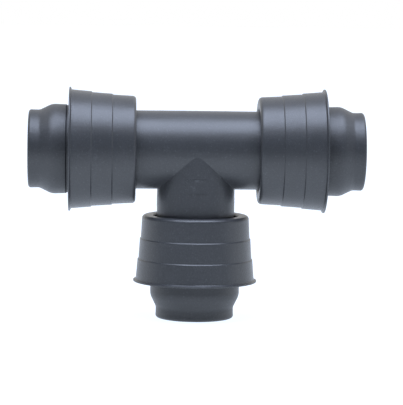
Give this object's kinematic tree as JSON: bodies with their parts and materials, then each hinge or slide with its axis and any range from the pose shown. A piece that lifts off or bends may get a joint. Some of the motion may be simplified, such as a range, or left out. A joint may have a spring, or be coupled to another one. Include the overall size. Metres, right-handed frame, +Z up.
{
  "type": "push-fit tee fitting",
  "caption": "Push-fit plastic tee for plain-ended pipe, with stepped release collars that slide on the end of each arm.",
  "frame": {"origin": "centre of the branch port's mouth, level with its rim", "axes": "+X to the right along the run, +Y to the back, +Z up along the branch towards the run"},
  "size_m": [0.109, 0.0404, 0.075],
  "materials": {
    "body_plastic": "satin moulded",
    "nose_plastic": "satin moulded",
    "collar_plastic": "satin moulded",
    "collet_plastic": "smooth acetal",
    "tooth_steel": "stainless, stamped",
    "seal_rubber": "matte",
    "washer_plastic": "satin",
    "ring_plastic": "smooth acetal"
  },
  "bodies": {
    "tee": {"tee_body": "body_plastic", "left_nose": "nose_plastic", "left_o_ring": "seal_rubber", "left_seal_washer": "washer_plastic", "left_lock_ring": "ring_plastic", "right_nose": "nose_plastic", "right_o_ring": "seal_rubber", "right_seal_washer": "washer_plastic", "right_lock_ring": "ring_plastic", "branch_nose": "nose_plastic", "branch_o_ring": "seal_rubber", "branch_seal_washer": "washer_plastic", "branch_lock_ring": "ring_plastic"},
    "left_release": {"left_collar": "collar_plastic", "left_collet": "collet_plastic", "left_grip_teeth": "tooth_steel"},
    "right_release": {"right_collar": "collar_plastic", "right_collet": "collet_plastic", "right_grip_teeth": "tooth_steel"},
    "branch_release": {"branch_collar": "collar_plastic", "branch_collet": "collet_plastic", "branch_grip_teeth": "tooth_steel"}
  },
  "joints": [
    {"name": "left_collar_slide", "type": "slide", "parent": "tee", "child": "left_release", "axis": [1, 0, 0], "range_m": [-0.00145, 0.00205]},
    {"name": "right_collar_slide", "type": "slide", "parent": "tee", "child": "right_release", "axis": [-1, 0, 0], "range_m": [-0.001, 0.0025]},
    {"name": "branch_collar_slide", "type": "slide", "parent": "tee", "child": "branch_release", "axis": [0, 0, 1], "range_m": [-0.0003, 0.0032]}
  ]
}
